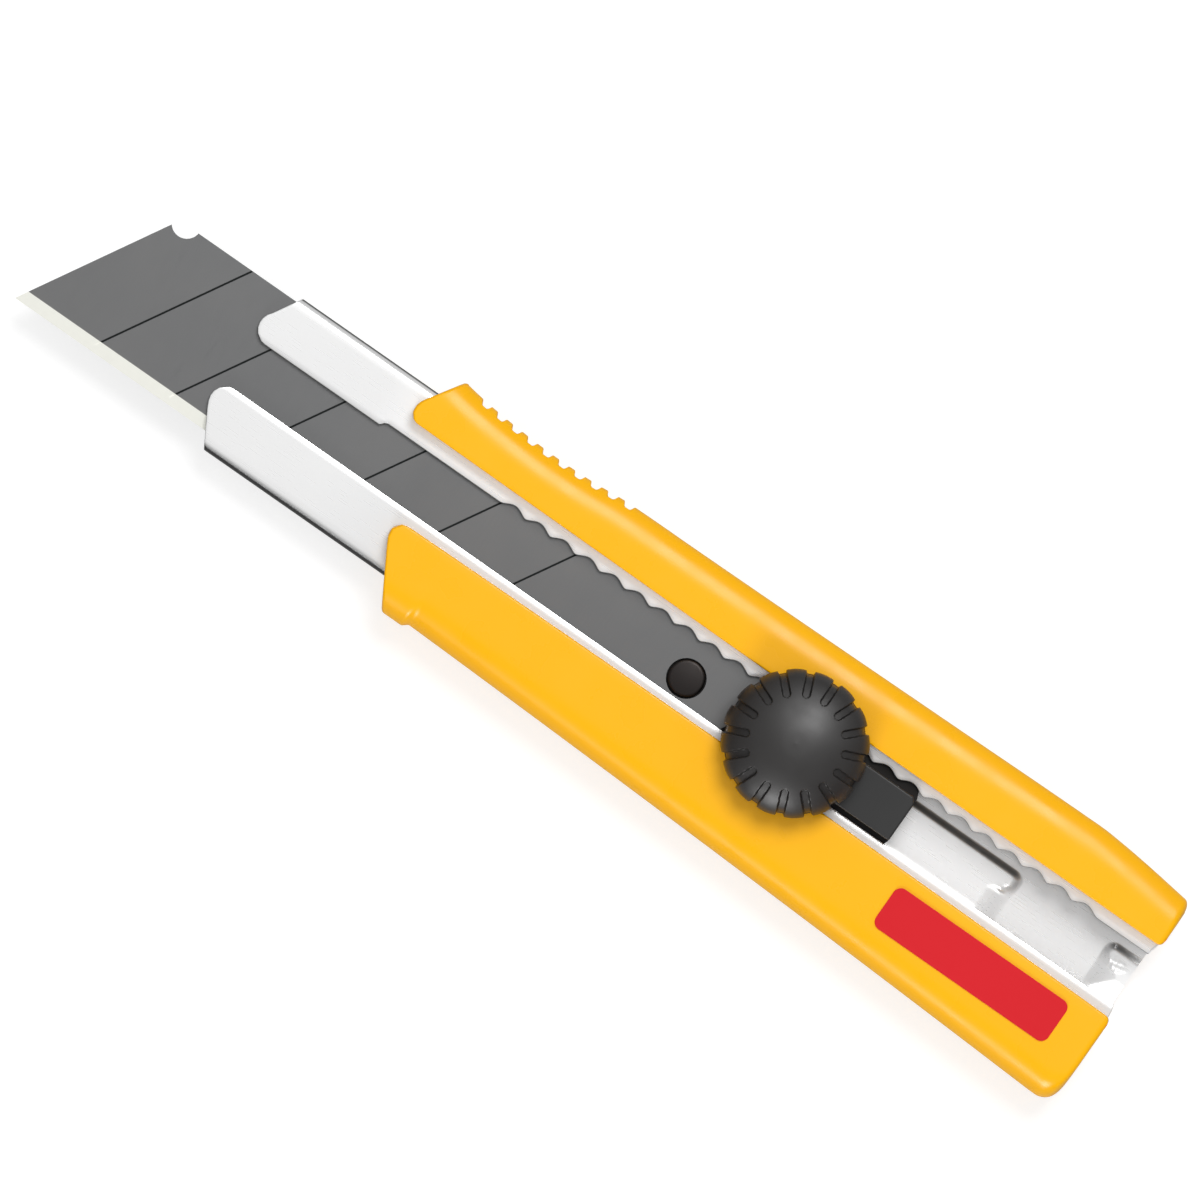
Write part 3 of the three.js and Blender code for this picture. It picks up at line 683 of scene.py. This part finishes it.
def make_knob(material):
    """The lock knob: a turned profile, pushed in along its grooves, with a pocket below."""
    r, z = crown_profile()
    dr, dz = np.gradient(r), np.gradient(z)
    length = np.hypot(dr, dz)
    sides = KNOB_GROOVES * 44
    turn = np.linspace(0, 2 * math.pi, sides, endpoint=False)
    pitch = 2 * math.pi / KNOB_GROOVES
    from_groove = (turn + pitch / 2) % pitch - pitch / 2
    wave = (1 + np.cos(from_groove * KNOB_GROOVES)) / 2
    points = []

    def ring(radius, height):
        """One ring of the knob, whose radius and height may vary round it."""
        flat = np.broadcast_to(height, (sides,))
        points.append(
            np.column_stack([LOCK_X + radius * np.cos(turn), radius * np.sin(turn), flat])
        )

    for radius, height, out, up in zip(r, z, np.abs(dz) / length, np.abs(dr) / length):
        across = np.abs(from_groove) * max(radius, GROOVE_START)
        beyond = max(GROOVE_START + GROOVE_WIDTH / 2 - radius, 0)
        away = np.hypot(across, beyond)
        cut = smoothstep((GROOVE_WIDTH / 2 + GROOVE_EDGE / 2 - away) / GROOVE_EDGE)
        if radius < GROOVE_START - 0.4:
            cut = np.zeros_like(cut)
        push = -RIB_SWELL * min(radius / 11.8, 1) ** 6 * wave - cut * GROOVE_DEPTH
        spun = radius + push * out if radius > 0.01 else 0
        ring(spun, height + push * up)
    foot = KNOB_LOW[2]
    for radius, height in (
        (FOOT_OUTER, foot),
        (FOOT_INNER, foot + FOOT_RISE),
        (KNOB_POCKET, foot + FOOT_RISE),
        (KNOB_POCKET, foot + KNOB_POCKET_TALL),
        (0, foot + KNOB_POCKET_TALL),
    ):
        ring(radius, height)
    faces = ring_faces(len(points), sides)
    mesh = merged(mesh_of("knob_grip", np.concatenate(points), faces), 30)
    return shown("knob_grip", mesh, material, "knob", "knob", "lock_knob")


# ---- Slider, pin and washer ----


BLOCK_EDGE = 0.32


def make_block(material):
    """The grey block between the sheath's lips, cut off at its upper rear corner."""
    x0, y0, z0 = BLOCK_LOW
    x1, y1, z1 = BLOCK_HIGH
    outline = rounded_outline(
        [
            (x0, y0, 0.6),
            (x1, y0, 0.35),
            (x1, y1 - 1.0, 0.3),
            (x1 - 0.7, y1, 0.3),
            (x0, y1, 0.6),
        ]
    )
    mesh = soft_prism("guide_block", outline, z0, z1, BLOCK_EDGE)
    return shown("guide_block", mesh, material, "slider", "slider_block", "slider_block")


PIN_SHANK, PIN_HEAD_TALL = 2, 1.13


def make_pin(material):
    """The pin that holds the blade: a plain shank and a head with a rounded edge."""
    radius = (PIN_HIGH[0] - PIN_LOW[0]) / 2
    x, y = (PIN_HIGH[0] + PIN_LOW[0]) / 2, (PIN_HIGH[1] + PIN_LOW[1]) / 2
    foot, top = PIN_LOW[2], PIN_HIGH[2]
    seat = top - PIN_HEAD_TALL
    profile = [
        (0, foot),
        (PIN_SHANK, foot),
        (PIN_SHANK, seat),
        (radius, seat),
        (radius, top - 0.34),
        (radius - 0.07, top - 0.16),
        (radius - 0.24, top - 0.05),
        (radius - 0.5, top),
        (0, top),
    ]
    mesh = lathe("locating_pin", profile, x, y, 96)
    return shown("locating_pin", mesh, material, "slider", "blade_pin", "blade_pin")


SCREW_SHANK, SCREW_HEAD_TALL, SCREW_CORNER, SCREW_TIP = 2.95, 2.0, 0.6, 0.4
FOOT_LIFT, FOOT_ROUND = 0.44, 0.75


def make_screw(material):
    """The clamp screw, its square foot rounded to clear the trough's drawn walls."""
    half = (SCREW_HIGH[0] - SCREW_LOW[0]) / 2
    foot, top = SCREW_LOW[2] + FOOT_LIFT, SCREW_HIGH[2]
    shoulder = SCREW_LOW[2] + SCREW_HEAD_TALL
    square = ((-half, -half), (half, -half), (half, half), (-half, half))
    outline = rounded_outline([(LOCK_X + x, y, SCREW_CORNER) for x, y in square])
    head = soft_prism("clamp_bolt", outline, foot, shoulder, FOOT_ROUND)
    profile = [
        (0, shoulder - 0.2),
        (SCREW_SHANK, shoulder - 0.2),
        (SCREW_SHANK, top - SCREW_TIP),
        (SCREW_SHANK - SCREW_TIP, top),
        (0, top),
    ]
    shank = lathe("clamp_bolt_shank", profile, LOCK_X, 0, 72)
    work = bmesh.new()
    work.from_mesh(head)
    work.from_mesh(shank)
    work.to_mesh(head)
    work.free()
    bpy.data.meshes.remove(shank)
    return shown("clamp_bolt", head, material, "slider", "clamp_screw", "clamp_screw")


WASHER_HOLE, WASHER_EDGE = 3.3, 0.12


def make_washer(material):
    """The flat washer under the knob, with its edges broken."""
    inner, outer = WASHER_HOLE, (WASHER_HIGH[0] - WASHER_LOW[0]) / 2
    low, high = WASHER_LOW[2], WASHER_HIGH[2]
    e = WASHER_EDGE
    profile = [
        (inner, low + e),
        (inner + e, low),
        (outer - e, low),
        (outer, low + e),
        (outer, high - e),
        (outer - e, high),
        (inner + e, high),
        (inner, high - e),
        (inner, low + e),
    ]
    mesh = lathe("thrust_washer", profile, LOCK_X, 0, 128)
    return shown("thrust_washer", mesh, material, "washer", "lock_washer", "lock_washer")


LABEL_CORNER, LABEL_EDGE = 1.4, 0.06


def make_label(material):
    """The plain red label on the lower rail."""
    x0, y0, z0 = LABEL_LOW
    x1, y1, z1 = LABEL_HIGH
    corners = [(x, y, LABEL_CORNER) for x, y in ((x0, y0), (x1, y0), (x1, y1), (x0, y1))]
    mesh = soft_prism("red_label", rounded_outline(corners, 12), z0, z1, LABEL_EDGE)
    return shown("red_label", mesh, material, "housing", "label", "label")


# ---- Materials ----

SCORE_FIRST, SCORE_PITCH, SCORE_COUNT, SCORE_HALF = 14.0, 14.4, 6, 0.18
HONED_WIDE = 2.06
# The drawn-out direction of the steel's and the blade's fine lines.
ALONG_X, ALONG_Y = (0.04, 1, 1), (0.9, 0.05, 1)


class Nodes:
    """A short way to write a material's node tree."""

    def __init__(self, name):
        self.material = bpy.data.materials.new(name)
        self.material.use_nodes = True
        self.tree = self.material.node_tree
        self.shader = self.tree.nodes["Principled BSDF"]
        self.place = self.node("ShaderNodeTexCoord").outputs["Object"]

    def node(self, kind, **values):
        made = self.tree.nodes.new(kind)
        for key, value in values.items():
            setattr(made, key, value)
        return made

    def link(self, source, target):
        self.tree.links.new(source, target)

    def math(self, operation, *values):
        """A sum of sockets and numbers, of Blender's named kind."""
        made = self.node("ShaderNodeMath", operation=operation)
        for socket, value in zip(made.inputs, values):
            if isinstance(value, (int, float)):
                socket.default_value = value
            else:
                self.link(value, socket)
        return made.outputs[0]

    def noise(self, scale, detail, stretch=(1, 1, 1)):
        """Noise at so many cells a metre, drawn out along an axis by a small stretch."""
        mapping = self.node("ShaderNodeMapping")
        mapping.inputs["Scale"].default_value = stretch
        self.link(self.place, mapping.inputs["Vector"])
        made = self.node("ShaderNodeTexNoise")
        made.inputs["Scale"].default_value = scale
        made.inputs["Detail"].default_value = detail
        self.link(mapping.outputs["Vector"], made.inputs["Vector"])
        return made.outputs["Fac"]

    def between(self, value, low, high, start=0.0, stop=1.0):
        """Maps a value from start..stop to low..high."""
        made = self.node("ShaderNodeMapRange")
        self.link(value, made.inputs["Value"])
        for name, number in zip(
            ("From Min", "From Max", "To Min", "To Max"), (start, stop, low, high)
        ):
            made.inputs[name].default_value = number
        return made.outputs["Result"]

    def mix(self, share, first, second):
        """A colour from the first at share 0 to the second at 1; each a colour or a socket."""
        made = self.node("ShaderNodeMix", data_type="RGBA")
        self.link(share, made.inputs[0])
        for socket, value in ((made.inputs[6], first), (made.inputs[7], second)):
            if isinstance(value, tuple):
                socket.default_value = (*value, 1)
            else:
                self.link(value, socket)
        return made.outputs[2]

    def bump(self, height, strength, distance):
        """Bends the shading by a height, over a distance in metres."""
        made = self.node("ShaderNodeBump")
        made.inputs["Strength"].default_value = strength
        made.inputs["Distance"].default_value = distance
        self.link(height, made.inputs["Height"])
        self.link(made.outputs["Normal"], self.shader.inputs["Normal"])

    def set(self, **values):
        """Sets the shader's sockets directly."""
        names = {"specular": "Specular IOR Level"}
        for key, value in values.items():
            name = names.get(key, key.replace("_", " ").title())
            self.shader.inputs[name].default_value = value

    def color(self, value):
        """Gives the shader its base colour, from a socket."""
        self.link(value, self.shader.inputs["Base Color"])

    def rough(self, value):
        """Gives the shader its roughness, from a socket."""
        self.link(value, self.shader.inputs["Roughness"])


def moulded(name, light, dark, rough, grain, depth, specular):
    """Injection-moulded plastic: slow colour variation, a fine spark-eroded grain and scuffs."""
    n = Nodes(name)
    n.color(n.mix(n.between(n.noise(30, 2), 0, 1, 0.15, 0.85), dark, light))
    n.rough(n.between(n.noise(160, 4), rough - 0.06, rough + 0.08, 0.3, 0.7))
    n.bump(n.noise(grain, 2), 0.25, depth)
    n.set(specular=specular)
    return n.material


def plated(name, light, dark, rough, scale):
    """Plated or oxidised metal: cloudy colour, with a fine grain in its gloss and height."""
    n = Nodes(name)
    grain = n.noise(scale, 4)
    n.color(n.mix(n.between(n.noise(60, 3), 0, 1, 0.3, 0.7), dark, light))
    n.rough(n.between(grain, rough - 0.05, rough + 0.07, 0.3, 0.7))
    n.bump(grain, 0.2, 0.000012)
    n.set(metallic=1.0)
    return n.material


def channel_steel():
    """Bright rolled sheet with a cloudy tone and painted shade. It is darker towards the cutting
    side, one grey on the tongues, duller on the floor and lighter in the troughs. Slopes facing
    the cutting side, and steep ones facing the back, are painted near black.
    """
    n = Nodes("channel_steel")
    lines = n.noise(5200, 4, ALONG_X)
    cloud = n.noise(60, 3)
    place = n.node("ShaderNodeSeparateXYZ")
    n.link(n.place, place.inputs["Vector"])
    # Painted shade: the sheet is painted darker towards the cutting side, and lighter with a cool
    # tint towards the back.
    across = n.between(place.outputs["Y"], 0, 1, -0.005, 0.004)
    steel_tone_and_painted_shade = n.mix(across, (0.79, 0.795, 0.8), (0.965, 0.98, 1.0))
    # Painted shade: ahead of the handle the tongues, which get the full light, are painted one
    # duller grey. The sheet inside the rails' shade keeps its lighter paint.
    painted_tone_ahead_of_handle = n.between(place.outputs["X"], 1, 0, -0.078, -0.066)
    steel_tone_and_painted_shade = n.mix(painted_tone_ahead_of_handle, steel_tone_and_painted_shade, (0.84, 0.84, 0.84))
    steel_tone_and_painted_shade = n.mix(n.between(cloud, 0, 0.08, 0.3, 0.7), steel_tone_and_painted_shade, (0.6, 0.6, 0.6))
    # Painted shade: the channel's floor, deep between the lips, is painted an even duller grey.
    # The pressed troughs are left out of it and painted lighter.
    floor = (FLOOR_LOW + SHEET) * MM
    low = n.between(place.outputs["Z"], 1, 0, floor + 0.0001, floor + 0.002)
    pressed_in = n.between(place.outputs["Z"], 0, 1, floor - 0.0001, floor - 0.0006)
    painted_floor_shade = n.math("SUBTRACT", low, pressed_in)
    steel_tone_and_painted_shade = n.mix(painted_floor_shade, steel_tone_and_painted_shade, (0.9, 0.9, 0.9))
    steel_tone_and_painted_shade = n.mix(pressed_in, steel_tone_and_painted_shade, (0.98, 0.98, 0.98))
    # Painted reflection: faces that tilt towards the cutting side, and steep ones towards the
    # back, are painted near black. This is a dark reflection along the sheet's folds and the
    # troughs' walls; upright side walls keep the steel.
    facing = n.node("ShaderNodeSeparateXYZ")
    n.link(n.node("ShaderNodeNewGeometry").outputs["Normal"], facing.inputs["Vector"])
    under = n.between(facing.outputs["Y"], 1, 0, -0.64, -0.2)
    over = n.between(facing.outputs["Y"], 0, 1, 0.74, 0.9)
    upright = n.between(n.math("ABSOLUTE", facing.outputs["Y"]), 1, 0, 0.985, 0.999)
    painted_fold_reflection = n.math("MULTIPLY", n.math("MAXIMUM", under, over), upright)
    n.color(n.mix(painted_fold_reflection, steel_tone_and_painted_shade, (0.04, 0.04, 0.04)))
    n.rough(n.between(lines, 0.27, 0.3, 0.3, 0.7))
    n.bump(lines, 0.03, 0.000002)
    n.set(metallic=0.5)
    return n.material


def blade_steel():
    """Ground carbon steel, with dark score lines and a pale honed edge."""
    n = Nodes("blade_steel")
    lines = n.noise(4200, 4, ALONG_Y)
    cloud = n.noise(50, 3)
    body = n.mix(n.between(cloud, 0, 1, 0.3, 0.7), (0.15, 0.152, 0.154), (0.163, 0.163, 0.163))
    split = n.node("ShaderNodeSeparateXYZ")
    n.link(n.place, split.inputs["Vector"])
    x, y = split.outputs["X"], split.outputs["Y"]
    first = (BLADE_LOW[0] + SCORE_FIRST - BLADE_LOW[1] * SLANT) * MM
    lean = n.math("MULTIPLY", y, SLANT)
    behind = n.math("SUBTRACT", n.math("SUBTRACT", x, lean), first)
    phase = n.math("DIVIDE", behind, SCORE_PITCH * MM)
    nearest = n.math("MAXIMUM", n.math("ROUND", phase), 0.0)
    nearest = n.math("MINIMUM", nearest, SCORE_COUNT - 1.0)
    away = n.math("ABSOLUTE", n.math("SUBTRACT", phase, nearest))
    half = SCORE_HALF / SCORE_PITCH
    scored = n.between(away, 1, 0, half * 0.8, half * 1.25)
    body = n.mix(scored, body, (0.01, 0.012, 0.012))
    honed = (BLADE_LOW[1] + HONED_WIDE) * MM
    on_edge = n.between(y, 1, 0, honed - 0.00004, honed + 0.00004)
    n.color(n.mix(on_edge, body, (0.9, 0.9, 0.83)))
    n.rough(n.between(lines, 0.34, 0.46, 0.3, 0.7))
    n.bump(lines, 0.15, 0.00001)
    n.link(n.between(on_edge, 0.85, 0.3), n.shader.inputs["Metallic"])
    return n.material


YELLOW = moulded("abs_yellow", (1.0, 0.49, 0.0), (1.0, 0.475, 0.0), 0.29, 2600, 0.000005, 0.3)
STEEL = channel_steel()
BLADE_STEEL = blade_steel()
PIN_BLACK = plated("pin_oxide", (0.04, 0.035, 0.034), (0.03, 0.027, 0.026), 0.4, 1500)
BASE_BLACK = moulded(
    "base_acetal", (0.01, 0.008, 0.007), (0.008, 0.007, 0.006), 0.45, 3000, 0.00001, 0.25
)
BLOCK_GREY = moulded(
    "block_acetal", (0.03, 0.03, 0.03), (0.022, 0.022, 0.022), 0.38, 3000, 0.00001, 0.3
)
ZINC = plated("zinc_plate", (0.62, 0.62, 0.6), (0.52, 0.52, 0.5), 0.35, 900)
BRASS = plated("insert_brass", (0.72, 0.5, 0.2), (0.62, 0.42, 0.16), 0.35, 900)
KNOB_BLACK = moulded(
    "knob_nylon", (0.012, 0.01, 0.0095), (0.01, 0.0085, 0.008), 0.47, 2400, 0.000012, 0.75
)
LABEL_RED = moulded(
    "label_vinyl", (0.68, 0.006, 0.014), (0.65, 0.005, 0.012), 0.45, 1200, 0.00001, 0.25
)


def carry(node, material):
    """A CAD node that is shown as it is, with a better material."""
    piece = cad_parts[node]
    piece.data.materials.clear()
    piece.data.materials.append(material)


make_handle(YELLOW)
make_sheath(STEEL)
make_knob(KNOB_BLACK)
make_block(BLOCK_GREY)
make_pin(PIN_BLACK)
make_screw(ZINC)
make_washer(ZINC)
make_label(LABEL_RED)
carry("blade", BLADE_STEEL)
carry("slider_base", BASE_BLACK)
carry("knob_insert", BRASS)


# ---- Stage, light and camera ----

FLOOR_SIDE, FLOOR_DROP, FLOOR_GLOW = 3.0, 0.00002, 0.66
# The world's brightness: overall, near the horizon as a share of it, and added overhead.
DOME, HORIZON_SHARE, OVERHEAD = 0.42, 0.08, 0.45
CAMERA_HEIGHT, VIEW_WIDE, CAMERA_ROLL = 3.0, 0.1899, 34.9
VIEW_MIDDLE = (-31.2, 0.95)


def make_floor():
    """A pale floor: its glow lifts it to white for the camera and lights nothing else."""
    side = FLOOR_SIDE
    mesh = bpy.data.meshes.new("floor")
    corners = [(-side, -side, 0), (side, -side, 0), (side, side, 0), (-side, side, 0)]
    mesh.from_pydata(corners, [], [(0, 1, 2, 3)])
    floor = bpy.data.objects.new("floor", mesh)
    bpy.context.scene.collection.objects.link(floor)
    n = Nodes("floor_pale")
    n.set(base_color=(0.45, 0.45, 0.45, 1), emission_color=(1, 1, 1, 1))
    n.set(roughness=0.9, specular=0.1)
    seen = n.node("ShaderNodeLightPath").outputs["Is Camera Ray"]
    n.link(n.math("MULTIPLY", seen, FLOOR_GLOW), n.shader.inputs["Emission Strength"])
    mesh.materials.append(n.material)
    floor.location.z = -FLOOR_DROP


def area_light(name, place, size, power):
    """A round soft light aimed at the knife."""
    data = bpy.data.lights.new(name, "AREA")
    data.shape = "DISK"
    data.size = size
    data.energy = power
    light = bpy.data.objects.new(name, data)
    bpy.context.scene.collection.objects.link(light)
    light.location = place
    light.rotation_euler = (-Vector(place)).to_track_quat("-Z", "Y").to_euler()


def make_world():
    """A soft white dome, bright overhead, that darkens near the horizon."""
    world = bpy.data.worlds.new("studio")
    bpy.context.scene.world = world
    world.use_nodes = True
    tree = world.node_tree

    def node(kind, **values):
        made = tree.nodes.new(kind)
        for key, value in values.items():
            setattr(made, key, value)
        return made

    def between(value, *numbers):
        """Maps a value from the first two numbers to the last two."""
        made = node("ShaderNodeMapRange")
        tree.links.new(value, made.inputs["Value"])
        for name, number in zip(("From Min", "From Max", "To Min", "To Max"), numbers):
            made.inputs[name].default_value = number
        return made.outputs["Result"]

    split = node("ShaderNodeSeparateXYZ")
    tree.links.new(node("ShaderNodeTexCoord").outputs["Generated"], split.inputs["Vector"])
    height = node("ShaderNodeMath", operation="MULTIPLY_ADD")
    tree.links.new(split.outputs["Y"], height.inputs[0])
    height.inputs[1].default_value = 0.25
    tree.links.new(split.outputs["Z"], height.inputs[2])
    whole = node("ShaderNodeMath", operation="ADD")
    dome = between(height.outputs[0], 0.22, 0.42, HORIZON_SHARE * DOME, DOME)
    tree.links.new(dome, whole.inputs[0])
    overhead = between(split.outputs["Z"], 0.93, 0.985, 0, OVERHEAD)
    tree.links.new(overhead, whole.inputs[1])
    seen = node("ShaderNodeMath", operation="MAXIMUM")
    tree.links.new(whole.outputs[0], seen.inputs[0])
    tree.links.new(node("ShaderNodeLightPath").outputs["Is Camera Ray"], seen.inputs[1])
    back = tree.nodes["Background"]
    back.inputs["Color"].default_value = (1, 1, 1, 1)
    tree.links.new(seen.outputs[0], back.inputs["Strength"])


def make_camera():
    """Straight down on the knife, rolled so that the tip is at the upper left."""
    data = bpy.data.cameras.new("camera")
    data.sensor_width = 36
    data.lens = data.sensor_width * CAMERA_HEIGHT / VIEW_WIDE
    data.clip_start, data.clip_end = 0.5, 10
    camera = bpy.data.objects.new("camera", data)
    bpy.context.scene.collection.objects.link(camera)
    x, y = VIEW_MIDDLE
    camera.location = (x * MM, y * MM, CAMERA_HEIGHT + BLADE_HIGH[2] * MM)
    camera.rotation_euler = (0, 0, math.radians(CAMERA_ROLL))
    bpy.context.scene.camera = camera


make_floor()
make_world()
area_light("key", (-0.05, 0.62, 1.08), 0.6, 8.9)
area_light("fill", (0.3, -1.2, 0.48), 0.55, 9.6)
make_camera()
bpy.context.scene.view_settings.view_transform = "Standard"
